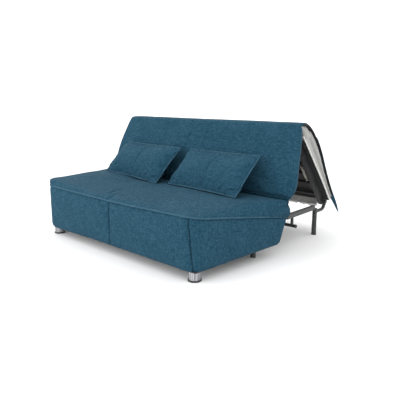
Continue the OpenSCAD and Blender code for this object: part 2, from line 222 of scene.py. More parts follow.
def coated(name, colour, wear_and_reflection_colour, roughness, grain=(1, 1, 1), contrast=0.35, specular=0.5, **constants):
    """A hard surface with a fine grain, faint mottling and slightly paler edges where it wears. On the feet the
    mottle, drawn out upright at full contrast, is painted reflection: dark and bright bands in the base colour.
    """
    made, tree, shader = new_material(name, Specular_IOR_Level=specular, **constants)
    place = wire(tree, "TexCoord").outputs["Object"]
    mottle = streaks(tree, place, grain, 60.0, 4.0)
    edges = ramp(tree, wire(tree, "NewGeometry").outputs["Pointiness"], 0.52, 0.6)
    wear = times(tree, edges, ramp(tree, mottle, 0.35, 0.65))
    # The mottle mixes in the second colour: faint tone on most finishes, painted reflection bands on the feet.
    mix = math_node(tree, "MAXIMUM", ramp(tree, mottle, 0.3, 0.7, 0.0, contrast), wear)
    blend = wire(tree, "Mix", {0: mix}, data_type="RGBA")
    blend.inputs["A"].default_value = (*colour, 1)
    blend.inputs["B"].default_value = (*wear_and_reflection_colour, 1)
    tree.links.new(blend.outputs["Result"], shader.inputs["Base Color"])
    rough = ramp(tree, mottle, 0.3, 0.7, roughness - 0.08, roughness + 0.08)
    tree.links.new(rough, shader.inputs["Roughness"])
    raise_bumps(tree, shader, mottle, 0.25, 0.0004)
    return made


sheen_tint = (0.55, 0.78, 0.9, 1)
petrol = woven("petrol_weave", (0.006, 0.035, 0.061), (0.013, 0.056, 0.091), (0.028, 0.084, 0.126),
               pitch=0.0024, weave_depth=0.0007, slub=0.95, sheen=(0.04, 0.45), specular=0.1,
               Sheen_Tint=sheen_tint)
# The welt is a lighter copy of the petrol weave: a painted highlight along the piping and the pillow welts.
petrol_welt = woven("petrol_welt", (0.012, 0.05, 0.082), (0.024, 0.08, 0.124), (0.046, 0.118, 0.17),
                    pitch=0.002, weave_depth=0.0005, slub=0.8, sheen=(0.08, 0.4), Sheen_Tint=sheen_tint)
# The ticking is a greyed white: its light grey is partly painted shade, darker than the cloth looks under even
# light.
ticking = woven("white_ticking", (0.27, 0.268, 0.258), (0.34, 0.338, 0.327), (0.41, 0.407, 0.395),
                pitch=0.0018, weave_depth=0.0004, slub=0.6, sheen=(0.15, 0.5))
# The hem, wrap and welts take a brighter copy of the ticking's white: painted light on parts that sit in shade.
hem_cotton_painted_light = woven("white_hem_painted_light", (0.52, 0.515, 0.5), (0.74, 0.735, 0.72), (0.86, 0.855, 0.84),
                   pitch=0.0024, weave_depth=0.0006, slub=0.9)
lining = woven("black_lining", (0.004, 0.005, 0.006), (0.008, 0.009, 0.011), (0.016, 0.018, 0.021),
               pitch=0.0018, weave_depth=0.0003, slub=0.6)
felt = woven("dark_felt", (0.01, 0.01, 0.011), (0.016, 0.016, 0.017), (0.026, 0.026, 0.027),
             pitch=0.003, weave_depth=0.0006, slub=0.4, sheen=(0.1, 0.6), specular=0.1)
steel = coated("dark_steel", (0.015, 0.016, 0.017), (0.045, 0.046, 0.048), 0.42, specular=0.38,
               Coat_Weight=0.05, Coat_Roughness=0.35)
slats = coated("dark_slats", (0.011, 0.01, 0.01), (0.03, 0.027, 0.025), 0.55, (0.25, 3.0, 3.0), specular=0.4)
plastic = coated("black_plastic", (0.01, 0.01, 0.011), (0.03, 0.03, 0.032), 0.5, specular=0.45)
# The feet's streaks, drawn out upright and at full contrast, are painted reflection: dark and bright bands in
# the base colour.
chrome = coated("brushed_feet", (0.11, 0.11, 0.12), (0.62, 0.62, 0.65), 0.26, (3.2, 3.2, 0.06), contrast=1.0,
                Metallic=1.0, Anisotropic=0.4)
zinc = coated("zinc_pins", (0.3, 0.3, 0.31), (0.45, 0.45, 0.46), 0.36, Metallic=1.0)
cream = coated("cream_springs", (0.42, 0.41, 0.36), (0.52, 0.51, 0.47), 0.45)

finishes = {made.name.split(".")[0]: made for made in (steel, slats, plastic, chrome, zinc, cream, ticking)}
finishes["petrol_fabric"] = petrol
for node in frame["nodes"].values():
    # A carried-over CAD node takes the finish of the slot that its own material names
    own = node.material_slots[0].material if node.material_slots else None
    surface = finishes.get(own.name.split(".")[0] if own else None, steel)
    if not node.material_slots:
        node.data.materials.append(surface)
    for held in node.material_slots:
        held.material = surface


# ---- Mesh helpers ----
def add_object(name, data):
    made = bpy.data.objects.new(name, data)
    bpy.context.scene.collection.objects.link(made)
    return made


def make_piece(name, points, faces, surface, second=None, second_faces=()):
    """A smooth-shaded mesh object. second_faces are the numbers of the faces that take the second material."""
    mesh = bpy.data.meshes.new(name)
    mesh.from_pydata([tuple(p) for p in points], [], faces)
    mesh.materials.append(surface)
    if second is not None:
        mesh.materials.append(second)
        for number in second_faces:
            mesh.polygons[number].material_index = 1
    mesh.shade_smooth()
    shape = bmesh.new()
    shape.from_mesh(mesh)
    bmesh.ops.recalc_face_normals(shape, faces=shape.faces)
    shape.to_mesh(mesh)
    shape.free()
    return add_object(name, mesh)


def get_points(piece):
    points = np.empty(len(piece.data.vertices) * 3)
    piece.data.vertices.foreach_get("co", points)
    return points.reshape(-1, 3)


def set_points(piece, points):
    piece.data.vertices.foreach_set("co", np.asarray(points, float).ravel())
    piece.data.update()


def push(piece, distance):
    """Moves every vertex out along its normal by its own distance."""
    normals = np.empty(len(piece.data.vertices) * 3)
    piece.data.vertex_normals.foreach_get("vector", normals)
    set_points(piece, get_points(piece) + normals.reshape(-1, 3) * np.asarray(distance)[:, None])


def apply_modifiers(piece):
    bpy.context.view_layer.update()
    graph = bpy.context.evaluated_depsgraph_get()
    final = bpy.data.meshes.new_from_object(piece.evaluated_get(graph))
    piece.modifiers.clear()
    piece.data = final
    return piece


def soften(piece, width, segments=3):
    """Rounds the hard edges of a piece."""
    bevel = piece.modifiers.new("soft_edge", "BEVEL")
    bevel.width = width
    bevel.segments = segments
    bevel.limit_method = "ANGLE"
    bevel.angle_limit = math.radians(50)
    return apply_modifiers(piece)


def lumps(points, size, seed):
    """Smooth values from about -1 to 1 that change over about size metres."""
    shift = Vector((seed * 7.3, seed * 3.1, seed * 5.7))
    return np.array([noise.noise(Vector(p) / size + shift) for p in points])


def declare(piece, body, replaces=()):
    """Says which CAD nodes a piece replaces, and hides them, and what body it rides on."""
    if replaces:
        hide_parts(*replaces)
    if body:
        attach(piece, body)


def fold(points, start, end, width, depth):
    """How far a crease from start to end pulls each point in, deepest at its start."""
    start = np.array(start)
    along = np.array(end) - start
    share = np.clip(((points - start) @ along) / (along @ along), 0, 1)
    gap = np.linalg.norm(points - start - share[:, None] * along, axis=1)
    hollow = np.exp(-(gap / width) ** 2) - 0.45 * np.exp(-((gap - 1.9 * width) / width) ** 2)
    return -depth * hollow * (1 - share ** 2)


def all_folds(points, creases):
    return sum(fold(points, *crease) for crease in creases)


def rim_of(rows, cols):
    """The numbers of a grid's edge points, in order round it."""
    loop = [i * cols for i in range(rows)] + [(rows - 1) * cols + j for j in range(1, cols)]
    return loop + [i * cols + cols - 1 for i in range(rows - 2, -1, -1)] + list(range(cols - 2, 0, -1))


def grid_faces(rows, cols):
    """The quads between the points of a grid."""
    return [(i * cols + j, (i + 1) * cols + j, (i + 1) * cols + j + 1, i * cols + j + 1)
            for i in range(rows - 1) for j in range(cols - 1)]


def shell(name, outer, inner, surface, second=None):
    """A closed body between two matching grids of points. second covers the inner grid and the rim."""
    rows, cols = outer.shape[:2]
    count = rows * cols
    outside = grid_faces(rows, cols)
    inside = [tuple(count + k for k in reversed(face)) for face in outside]
    loop = rim_of(rows, cols)
    edge = [(loop[k - 1], loop[k], loop[k] + count, loop[k - 1] + count) for k in range(len(loop))]
    points = np.concatenate([outer.reshape(-1, 3), inner.reshape(-1, 3)])
    lined = range(len(outside), len(outside) + len(inside) + len(edge)) if second else ()
    return make_piece(name, points, outside + inside + edge, surface, second, lined)


def lattice(steps_a, steps_b, steps_c):
    """The skin of a box, as points in box coordinates and quads."""
    counts = (len(steps_a), len(steps_b), len(steps_c))
    steps = (steps_a, steps_b, steps_c)
    number, points, faces = {}, [], []

    def at(key):
        if key not in number:
            number[key] = len(points)
            points.append([steps[axis][key[axis]] for axis in range(3)])
        return number[key]

    for axis in range(3):
        one, two = (axis + 1) % 3, (axis + 2) % 3
        for end, p, q in product((0, counts[axis] - 1), range(counts[one] - 1), range(counts[two] - 1)):
            corners = []
            for dp, dq in ((0, 0), (1, 0), (1, 1), (0, 1)):
                key = [0, 0, 0]
                key[axis], key[one], key[two] = end, p + dp, q + dq
                corners.append(at(tuple(key)))
            faces.append(tuple(corners))
    return np.array(points), faces


def faces_below(box, faces, level):
    return np.flatnonzero(box[np.array(faces), 2].max(axis=1) < level)


def steps(length, cell, edge=0.0):
    """Even steps of about cell, with finer ones within edge of both ends."""
    even = np.linspace(0, length, max(2, round(length / cell)) + 1)
    if edge <= 0:
        return even
    near = np.linspace(0, edge, 5)
    middle = even[(even > edge * 1.3) & (even < length - edge * 1.3)]
    return np.concatenate([near, middle, length - near[::-1]])


def rounded(points, size, radii):
    """Rounds the edges of box points, by a radius for each axis."""
    size, radii = np.array(size, float), np.maximum(np.array(radii, float), 1e-6)
    core = np.clip(points, radii, size - radii)
    reach = (points - core) / radii
    far = np.abs(reach).max(axis=1, keepdims=True)
    length = np.linalg.norm(reach, axis=1, keepdims=True)
    return core + reach * radii * far / np.maximum(length, 1e-9)


def tube(name, route, radius, surface, sides=8, closed=False, ripple=0.0, seed=0.0):
    """A round cord along a route of points, with closed ends."""
    route = np.asarray(route, float)
    ahead = np.roll(route, -1, axis=0) - np.roll(route, 1, axis=0)
    if not closed:
        ahead[0], ahead[-1] = route[1] - route[0], route[-1] - route[-2]
    ahead /= np.linalg.norm(ahead, axis=1, keepdims=True)
    side = np.cross(ahead[0], (0.13, 0.31, 0.94))
    side /= np.linalg.norm(side)
    points = []
    for place, heading in zip(route, ahead):
        side = side - heading * (side @ heading)
        side /= np.linalg.norm(side)
        other = np.cross(heading, side)
        swell = radius * (1 + ripple * noise.noise(Vector(place) * 90 + Vector((seed, 0, 0))))
        for k in range(sides):
            angle = math.tau * k / sides
            points.append(place + swell * (math.cos(angle) * side + math.sin(angle) * other))
    rings = len(route)
    faces = [(i * sides + k, i * sides + (k + 1) % sides,
              ((i + 1) % rings) * sides + (k + 1) % sides, ((i + 1) % rings) * sides + k)
             for i in range(rings if closed else rings - 1) for k in range(sides)]
    if not closed:
        faces += [tuple(range(sides)), tuple(range((rings - 1) * sides, rings * sides))]
    return make_piece(name, points, faces, surface)


def distances(path):
    """How far along a path each of its points is."""
    return np.concatenate([[0], np.cumsum(np.linalg.norm(np.diff(path, axis=0), axis=1))])


def curve_through(stops, count):
    """count points on a smooth curve through the stops, evenly spread along it."""
    stops = np.asarray(stops, float)
    padded_stops = np.vstack([2 * stops[0] - stops[1], stops, 2 * stops[-1] - stops[-2]])
    fine = []
    for k in range(1, len(stops)):
        p0, p1, p2, p3 = padded_stops[k - 1:k + 3]
        for t in np.linspace(0, 1, 24, endpoint=False):
            fine.append(0.5 * (2 * p1 + (p2 - p0) * t + (2 * p0 - 5 * p1 + 4 * p2 - p3) * t ** 2
                               + (3 * p1 - p0 - 3 * p2 + p3) * t ** 3))
    fine = np.array(fine + [stops[-1]])
    reach = distances(fine)
    even = np.linspace(0, reach[-1], count)
    return np.stack([np.interp(even, reach, fine[:, axis]) for axis in range(stops.shape[1])], axis=-1)


# ---- Camera, lights and floor ----
def aim(thing, place, ahead):
    thing.location = place
    thing.rotation_mode = "QUATERNION"
    thing.rotation_quaternion = ahead.to_track_quat("-Z", "Y")


def make_camera():
    data = bpy.data.cameras.new("camera")
    camera = add_object("camera", data)
    yaw, pitch = math.radians(42.35), math.radians(11.98)
    ahead = Vector((-math.sin(yaw) * math.cos(pitch), math.cos(yaw) * math.cos(pitch), -math.sin(pitch)))
    aim(camera, (2.061, -2.216, 0.882), ahead)
    data.lens = 41.47
    data.sensor_width = 36.0
    data.shift_x, data.shift_y = 0.003, -0.013
    data.clip_start, data.clip_end = 0.05, 60
    bpy.context.scene.camera = camera


def make_light(name, place, target, size, power):
    data = bpy.data.lights.new(name, "AREA")
    data.shape = "RECTANGLE"
    data.size, data.size_y = size
    data.energy = power
    aim(add_object(name, data), place, Vector(target) - Vector(place))


def make_studio():
    scene = bpy.context.scene
    scene.view_settings.view_transform = "Standard"
    world = bpy.data.worlds.new("studio")
    scene.world = world
    world.use_nodes = True
    sky = world.node_tree.nodes["Background"].inputs
    sky["Color"].default_value = (1, 1, 1, 1)
    sky["Strength"].default_value = 1.5
    make_light("front", (-1.1, -3.3, 1.1), (0.0, 0.0, 0.25), (2.6, 1.2), 30)
    make_light("top", (-0.6, -0.6, 3.2), (0.0, 0.0, 0.2), (3.0, 2.4), 4)
    floor_size, rows = 14.0, 25
    grid = np.linspace(-floor_size / 2, floor_size / 2, rows)
    points = [(x, y, 0.0) for x in grid for y in grid]
    paper, tree, shader = new_material("pale_floor", Roughness=0.9, Specular_IOR_Level=0.1)
    soft = streaks(tree, wire(tree, "TexCoord").outputs["Object"], (1, 1, 1), 3.0, 3.0)
    tone = ramp(tree, soft, 0.0, 1.0, 0.9, 0.93)
    grey = wire(tree, "CombineColor", {"Red": tone, "Green": tone, "Blue": tone})
    tree.links.new(grey.outputs["Color"], shader.inputs["Base Color"])
    make_piece("floor", points, grid_faces(rows, rows), paper)


make_camera()
make_studio()

# ---- Seat: skirt, piping and cushion ----
arc_x = half_width(corner_r) - corner_r / math.cos(side_turn)
arc_len = corner_r * (math.pi / 2 - side_turn)


def corner_seam(down):
    """Where the seam at a front corner runs, by the share of the way down: it slants outwards."""
    return arc_x + (0.23 + 0.19 * down) * arc_len


def outline(run, inset=0.0):
    """The right half of the seat's outline, by its distance from the front centre: x and depth."""
    run = np.asarray(run, float)
    turn = np.clip((run - arc_x) / corner_r, 0, arc_len / corner_r)
    straight = np.maximum(run - arc_x - arc_len, 0)
    normal = together(np.sin(turn), -np.cos(turn))
    centre = together(np.minimum(run, arc_x), corner_r)
    place = centre + normal * (corner_r - np.asarray(inset))[..., None]
    heading = np.array([math.sin(side_turn), math.cos(side_turn)])
    return place + straight[..., None] * heading, normal


def run_to(deep):
    """Distance along the outline to a point on the side, by its depth."""
    arc_end = corner_r - corner_r * math.sin(side_turn)
    return arc_x + arc_len + (deep - arc_end) / math.cos(side_turn)


panel_puff = 0.004
seam_pinch = 0.0105
edge_tuck = 0.01


def skirt_panel(name, stands_for, side, run_from, run_end, seed):
    """One padded panel of the skirt, from one seam to the next. side is 1 for the right and -1 for the left.
    Each seam is a distance along the outline, or a function of the share of the way down."""
    down = steps(1.0, 0.035, 0.03)[None, :]
    start = run_from(down) if callable(run_from) else np.full(down.shape, run_from)
    stop = run_to(skirt_d - skirt_rear_lean * down) if run_end is None else run_end(down)
    length = float((stop - start)[0, 0])
    share = steps(length, 0.008, 0.012)[:, None] / length
    run = start + share * (stop - start)
    place, normal = outline(run)
    deep = np.maximum(place[..., 1], 0)
    top = skirt_edge(deep, side * place[..., 0])
    low = skirt_low_front + (skirt_low_rear - skirt_low_front) * deep / (skirt_d - skirt_rear_lean)
    low = low - 0.007 * smooth_step((-side * place[..., 0] - 0.1) / 0.5) * (1 - deep / skirt_d)
    z = top - 0.003 + (low - top + 0.003) * down
    seam_gap = np.minimum(run - start, stop - run)
    puff = panel_puff * np.sin(np.pi * down) ** 0.5 * (1 - np.exp(-seam_gap / 0.03))
    pinch = -seam_pinch * np.exp(-seam_gap / 0.0055)
    tuck = -edge_tuck * (smooth_step((down - 0.9) / 0.1) + np.exp(-down / 0.022))
    spots = together(side * place[..., 0], deep, z).reshape(-1, 3)
    wave = 0.0022 * lumps(spots * (1.0, 1.0, 0.45), 0.1, seed) + 0.0009 * lumps(spots, 0.035, seed + 3)
    wave = wave + all_folds(spots, skirt_folds)
    hem = -0.0012 * np.exp(-(np.abs(z - low - 0.022) / 0.0035) ** 2)
    swell = puff + pinch + tuck + hem + wave.reshape(z.shape)
    face = place + normal * swell[..., None]
    back, _ = outline(run, skirt_t)
    outer, inner = (on_seat(side * layer[..., 0], layer[..., 1], z) for layer in (face, back))
    inner[:, 0, 2] -= 0.004
    piece = soften(shell(name, outer, inner, petrol), 0.006)
    declare(piece, "root", replaces=[stands_for])


# Tension folds: start, end, width and depth of each. Places are x, depth behind the seat's front, and height
skirt_folds = [
    ((0.012, 0.0, 0.305), (0.1, 0.0, 0.225), 0.012, 0.0028),
    ((0.012, 0.0, 0.308), (0.06, 0.0, 0.135), 0.01, 0.002),
    ((-0.008, 0.0, 0.306), (-0.09, 0.0, 0.235), 0.011, 0.0022),
    ((-0.008, 0.0, 0.3), (-0.045, 0.0, 0.15), 0.01, 0.0016),
    ((0.02, 0.0, 0.15), (0.13, 0.0, 0.07), 0.014, 0.0026),
    ((0.585, 0.0, 0.3), (0.5, 0.0, 0.18), 0.016, 0.0026),
    ((0.56, 0.0, 0.312), (0.4, 0.0, 0.262), 0.014, 0.002),
    ((0.665, 0.11, 0.29), (0.7, 0.3, 0.215), 0.016, 0.0024),
    ((0.66, 0.09, 0.12), (0.69, 0.26, 0.08), 0.014, 0.002),
    ((-0.665, 0.11, 0.29), (-0.7, 0.3, 0.215), 0.016, 0.0024),
    ((-0.585, 0.0, 0.3), (-0.48, 0.0, 0.19), 0.016, 0.0024),
    ((0.33, 0.0, 0.31), (0.3, 0.0, 0.2), 0.014, 0.0014),
    ((-0.33, 0.0, 0.08), (-0.3, 0.0, 0.19), 0.016, 0.0014),
]


def make_skirt():
    skirt_panel("skirt_front_right", "skirt_front", 1, seam_x, corner_seam, 1)
    skirt_panel("skirt_front_left", "skirt_front", -1, -seam_x, corner_seam, 2)
    skirt_panel("skirt_side_right", "skirt_right", 1, corner_seam, None, 3)
    skirt_panel("skirt_side_left", "skirt_left", -1, corner_seam, None, 4)


def make_piping():
    """The welt in the seam between the skirt and the seat cushion."""
    run = np.linspace(0, run_to(skirt_d), 260)
    deep = np.maximum(outline(run, -0.0015)[0][:, 1], 0)
    halves = []
    for side, drawn_in in ((-1, 0.004), (1, 0.0)):
        place, _ = outline(run, drawn_in * smooth_step((run - 0.45) / 0.15) - 0.0015)
        x = side * place[:, 0]
        halves.append(on_seat(x, place[:, 1], skirt_edge(deep, x) + 0.001))
    route = np.concatenate([halves[0][:0:-1], halves[1]])
    dip = np.exp(-((route[:, 0] - seam_x) / 0.03) ** 2) * (route[:, 1] < front_y + 0.02)
    route[:, 2] -= 0.004 * dip
    route[:, 1] += 0.004 * dip
    # The piping's lighter petrol is a painted highlight.
    declare(tube("seat_piping", route, 0.0042, petrol_welt, ripple=0.12), "root")


crease_lean = back_tilt / 2
crease_wide = 0.018
crease_line_y = seat_hinge.y - mattress_over * math.tan(crease_lean)
seat_deep = crease_line_y - front_y - crease_wide / 2 / math.cos(crease_lean)


def seat_plan(share_x, ahead):
    """Seat plan points, rounded at the front corners, and each one's distance from the edge."""
    away = (1 - np.abs(share_x)) * half_width(ahead) * math.cos(side_turn)
    vx, vy = np.clip(corner_r - away, 0, None), np.clip(corner_r - ahead, 0, None)
    far = np.maximum(vx, vy)
    length = np.maximum(np.hypot(vx, vy), 1e-9)
    both = (vx > 0) & (vy > 0)
    new_away = np.where(both, corner_r - vx * far / length, away)
    deep = np.where(both, corner_r - vy * far / length, ahead)
    gap = np.where(both, corner_r - far, np.minimum(away, ahead))
    x = np.sign(share_x) * (half_width(deep) - new_away / math.cos(side_turn))
    return x, deep, gap


def lean_back(x, deep, z):
    """Seat points with the cushion's rear end leaned along the crease, which is deeper lower down."""
    near = smooth_step((deep - 0.42) / (seat_deep - 0.42))
    leaned = np.minimum(deep + near * (seat_top - z) * math.tan(crease_lean), np.maximum(deep, skirt_d - 0.004))
    return on_seat(x * half_width(leaned) / half_width(deep), leaned, z)


edge_steps = np.array([0, 0.0006, 0.0024, 0.0055, 0.01, 0.016, 0.024])
edge_roll, edge_roll_left, edge_roll_rear = 0.032, 0.015, 0.014
seat_crown = 0.012


def seat_surface():
    """The seat cushion's upper surface, from the piping up and over, and how far each point has risen."""
    across = np.concatenate([edge_steps / seat_front_half, np.linspace(0.045, 1, 88)])
    across = np.concatenate([-1 + across, 1 - across[-2::-1]])
    back = np.concatenate([edge_steps / seat_deep, np.linspace(0.05, 1, 74)])
    share_x, share_y = np.meshgrid(across, back, indexing="ij")
    x, deep, gap = seat_plan(share_x, share_y * seat_deep)
    edge = skirt_edge(deep, x)
    arch = np.sin(np.pi * np.clip(deep / seat_deep, 0, 1))
    spread = edge_roll + 0.034 * arch
    spread = spread + (edge_roll_left - spread) * smooth_step((-x - 0.4) / 0.22)
    spread = spread + (edge_roll_rear - spread) * smooth_step((deep - 0.45) / 0.15)
    rise = np.sqrt(1 - (1 - np.clip(gap / spread, 0, 1)) ** 2)
    crown = seat_crown * (1 - (np.abs(x) / half_width(deep)) ** 4) * arch ** 0.6
    z = edge + (seat_top - 0.002 - edge) * rise + crown * rise
    roll = np.clip((deep - (seat_deep - 0.035)) / 0.035, 0, 1)
    z = z - 0.006 * roll ** 2
    return x, deep, z, rise


cushion_t = 0.035

seat_folds = [
    ((seam_x, 0.012, 0.33), (seam_x - 0.01, 0.11, 0.34), 0.014, 0.005),
    ((-0.087, 0.099, 0.34), (-0.122, 0.246, 0.34), 0.009, 0.0045),
    ((-0.06, 0.06, 0.34), (-0.1, 0.175, 0.34), 0.012, 0.0035),
    ((0.02, 0.03, 0.34), (0.12, 0.15, 0.34), 0.016, 0.003),
    ((-0.03, 0.02, 0.34), (-0.2, 0.07, 0.34), 0.014, 0.0028),
    ((0.64, 0.06, 0.33), (0.48, 0.23, 0.34), 0.022, 0.003),
    ((-0.64, 0.06, 0.33), (-0.48, 0.23, 0.34), 0.022, 0.003),
    ((0.705, 0.56, 0.27), (0.56, 0.43, 0.34), 0.025, 0.0035),
    ((-0.705, 0.56, 0.27), (-0.56, 0.43, 0.34), 0.025, 0.0035),
]


flare_rear, flare_left, left_lift = 0.04, 0.018, 0.024


def make_seat_cushion():
    """The top of the seat: it bulges over the piping at the rear corners and stands fuller at the left."""
    x, deep, z, rise = seat_surface()
    to_rear = smooth_step((deep - 0.36) / 0.25)
    rear_bulge = flare_rear * to_rear * smooth_step((np.abs(x) - 0.56) / 0.14)
    left_bulge = flare_left * smooth_step((-x - 0.45) / 0.18) * (1 - to_rear)
    x = x + np.sign(x) * (rear_bulge * rise ** 1.15 + left_bulge * rise)
    z = z + left_lift * smooth_step((-x - 0.2) / 0.42) * rise
    low = np.maximum(skirt_edge(np.maximum(deep, 0), x) - 0.006, z - cushion_t)
    cushion = shell("seat_cushion", lean_back(x, deep, z), lean_back(x, deep, low), petrol)
    places = get_points(cushion) - (0, front_y, 0)
    upper = np.concatenate([rise.ravel(), np.zeros(rise.size)])
    swell = 0.003 * lumps(places, 0.16, 5) + 0.001 * lumps(places, 0.05, 6)
    dimple = np.linalg.norm(places[:, :2] - np.array([seam_x, 0.0]), axis=1)
    swell = swell - 0.007 * np.exp(-(dimple / 0.045) ** 2)
    swell = swell + all_folds(places, seat_folds)
    push(cushion, swell * upper)
    declare(cushion, "root", replaces=["seat_cover"])


def mattress_block(name, body, size, radii, cell, warp, node, seed, wrinkle=0.003):
    """A block of foam in white ticking. warp takes box coordinates to the row frame."""
    box, faces = lattice(*[steps(length, cell, 1.2 * radius) for length, radius in zip(size, radii)])
    under = faces_below(box, faces, 1e-6)
    block = make_piece(name, warp(rounded(box, size, radii)), faces, ticking, felt, under)
    places = get_points(block)
    push(block, wrinkle * (lumps(places * (1, 0.5, 0.5), 0.045, seed) + 0.3 * lumps(places, 0.018, seed + 1)))
    declare(block, body, replaces=[node])


def make_seat_mattress():
    low = seat_hinge.z + mattress_under
    size = (2.0, seat_deep - skirt_t, seat_top - cushion_t - 0.004 - low)

    def warp(box):
        share = box[:, 0] / size[0] * 2 - 1
        deep = box[:, 1] + skirt_t + 0.012
        return on_seat(share * (half_width(deep) - skirt_t - 0.022), deep, low + box[:, 2])

    mattress_block("seat_mattress_ticking", "root", size, (0.02, 0.02, 0.02), 0.02, warp,
                   "seat_mattress", 7, wrinkle=0.0015)


# ---- Crease between seat and back: foam that fills the fold ----
crease_low = 0.03
crease_past, crease_taper, crease_waist = 0.034, 0.06, 0.008


def make_crease():
    box, faces = lattice(steps(2.0, 0.016, 0.03) - 1.0, np.linspace(0, 1, 25), np.linspace(0, 1, 9))
    share, spread, level = box[:, 0], box[:, 1], box[:, 2]
    lean = math.pi / 2 + crease_lean
    part = 0.5 - np.sin(np.arcsin(1 - 2 * np.clip(spread, 0, 1)) / 3)
    offset = (part - 0.5) * crease_wide
    top = (mattress_over - 0.004 - offset * np.sin(crease_lean - back_tilt * spread)) \
        / np.sin(lean - back_tilt * spread)
    reach = crease_low + level * (top - crease_low)
    y = seat_hinge.y + reach * math.cos(lean) + offset * math.cos(crease_lean)
    z = seat_hinge.z + reach * math.sin(lean) + offset * math.sin(crease_lean)
    half = half_width(seat_deep) + crease_past - crease_taper * (1 - level)
    half = half - crease_waist * np.sin(np.pi * spread) ** 2
    crease = make_piece("crease_cushion", together(share * half, y, z), faces, petrol)
    declare(crease, None)
    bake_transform(crease)


make_skirt()
make_piping()
make_seat_cushion()
make_seat_mattress()
make_crease()

# ---- Back: ticking mattress and its padded cover, which runs on over the apex ----
cover_t = 0.046
flap_t = 0.008
# Right and left edges of the back cover, as distance up the back and distance from the centre plane
right_edge = [(0.098, 0.763), (0.122, 0.776), (0.19, 0.789), (0.285, 0.78), (0.41, 0.766), (0.528, 0.746)]
left_edge = [(0.097, 0.79), (0.125, 0.794), (0.205, 0.774), (0.388, 0.738), (0.525, 0.703)]


def make_back_mattress():
    size = (2 * mattress_half, 1.0, 0.078)

    def warp(box):
        out = mattress_under + box[:, 2]
        low = out * math.tan(crease_lean) + crease_wide / 2
        return on_back(box[:, 0] - mattress_half, low + box[:, 1] * (back_len - 0.012 - low), out)

    mattress_block("back_mattress_ticking", "back_section", size, (0.02, 0.03, 0.02), 0.018, warp,
                   "back_mattress", 11)


def apex_path():
    """The cover's outer line in depth and height, from the crease up the back, over the apex and down."""
    low = mattress_over * math.tan(crease_lean) + crease_wide / 2
    rise = [(low - 0.004, mattress_over - 0.01), (low + 0.022, mattress_over), (0.2, mattress_over + 0.004),
            (0.32, mattress_over + 0.006), (0.44, mattress_over + 0.003), (0.505, mattress_over),
            (0.519, mattress_over - 0.006)]
    over = [(-0.104, 0.0585), (-0.08, 0.06), (-0.03, 0.059), (0.013, 0.053), (0.066, 0.04)]
    down = [(0.077, 0.096), (0.125, 0.102)]
    stops = [on_back(0.0, a, o)[1:] for a, o in rise]
    stops += [np.array([apex_hinge.y + y, apex_hinge.z + z]) for y, z in over]
    stops += [on_rear(0.0, a, o)[1:] for a, o in down]
    return curve_through(stops, 150)


def normals_of(path):
    ahead = np.gradient(path, axis=0)
    ahead /= np.linalg.norm(ahead, axis=1, keepdims=True)
    return together(-ahead[:, 1], ahead[:, 0])


def make_back_cover():
    """One padded cover: thick on the back, thin where it is drawn over the apex."""
    path = apex_path()
    outward = normals_of(path)
    outward *= np.sign(outward @ np.array([-1.0, 1.0]) + 1e-9)[:, None]
    later = outward[len(path) // 2:]
    later *= np.where(later[:, 1:] < 0, -1, 1)
    reach = distances(path)
    total = reach[-1]
    top_at = reach[np.argmax(path[:, 1])]
    across = np.concatenate([steps(1.0, 0.011, 0.04), 1.0 + steps(1.0, 0.011, 0.04)[1:]])
    seam_cells = 1.0 - 0.055 + np.linspace(-0.03, 0.03, 13)
    across = np.unique(np.round(np.concatenate([across, seam_cells]), 4))
    box, faces = lattice(across, steps(total, 0.009, 0.02), np.linspace(0, 1, 7))
    round_edge = rounded(box * (1, 1, cover_t), (2.0, total, cover_t), (0.022, 0.018, 0.018))
    share, run, level = round_edge[:, 0] - 1, round_edge[:, 1], round_edge[:, 2] / cover_t
    y, z = (np.interp(run, reach, path[:, k]) for k in (0, 1))
    ny, nz = (np.interp(run, reach, outward[:, k]) for k in (0, 1))
    ahead = np.gradient(path, reach, axis=0)
    ty, tz = (np.interp(run, reach, ahead[:, k]) for k in (0, 1))
    thin = smooth_step((run - top_at + 0.09) / 0.09)
    sink = (1 - level) * (cover_t + (flap_t - cover_t) * thin)
    tapered = smooth_step((run - top_at + 0.01) / 0.15)
    up = run + mattress_over * math.tan(crease_lean) + crease_wide / 2
    right, left = (np.interp(up, *curve_through(edge, 60).T) for edge in (right_edge, left_edge))
    middle, half = (right - left) / 2 * (1 - tapered), (right + left) / 2
    half = half + (flap_half - half) * tapered
    low_rear = (1 - level) * (1 - smooth_step(run / 0.07))
    x = share * (half - 0.025 * low_rear) + middle
    slide = sink * math.tan(crease_lean) * (1 - smooth_step(run / 0.1))
    y, z = y - ny * sink - ty * slide, z - nz * sink - tz * slide
    centres = round_edge[np.array(faces)].mean(axis=1)
    over_apex = centres[:, 1] > top_at + 0.004
    hidden = (centres[:, 2] < cover_t * 0.6) | (np.abs(centres[:, 0] - 1) > 0.9885)
    lined = np.flatnonzero(over_apex & hidden)
    cover = make_piece("back_cover", together(x, y, z), faces, petrol, lining, lined)
    # The centre seam wanders a little to the left on its way down
    seam = -0.041 - 0.035 * np.clip((top_at - run) / top_at, 0, 1)
    swell = 0.0035 * lumps(get_points(cover), 0.15, 21) + 0.0011 * lumps(get_points(cover), 0.045, 22)
    swell = swell + 0.006 * np.sin(np.pi * np.clip((run - 0.03) / (top_at - 0.03), 0, 1)) ** 0.7
    swell = swell - 0.0085 * np.exp(-np.abs(x - seam) / 0.005)
    swell = swell + all_folds(together(x, run), back_folds)
    edge_gap = half - 0.026 - np.abs(x - middle)
    swell = swell - 0.0022 * np.exp(-np.abs(edge_gap) / 0.004) * (run < top_at)
    push(cover, swell * smooth_step(level * 2 - 0.6) * (1 - 0.7 * thin))
    declare(cover, None, replaces=["back_cover"])
    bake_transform(cover)


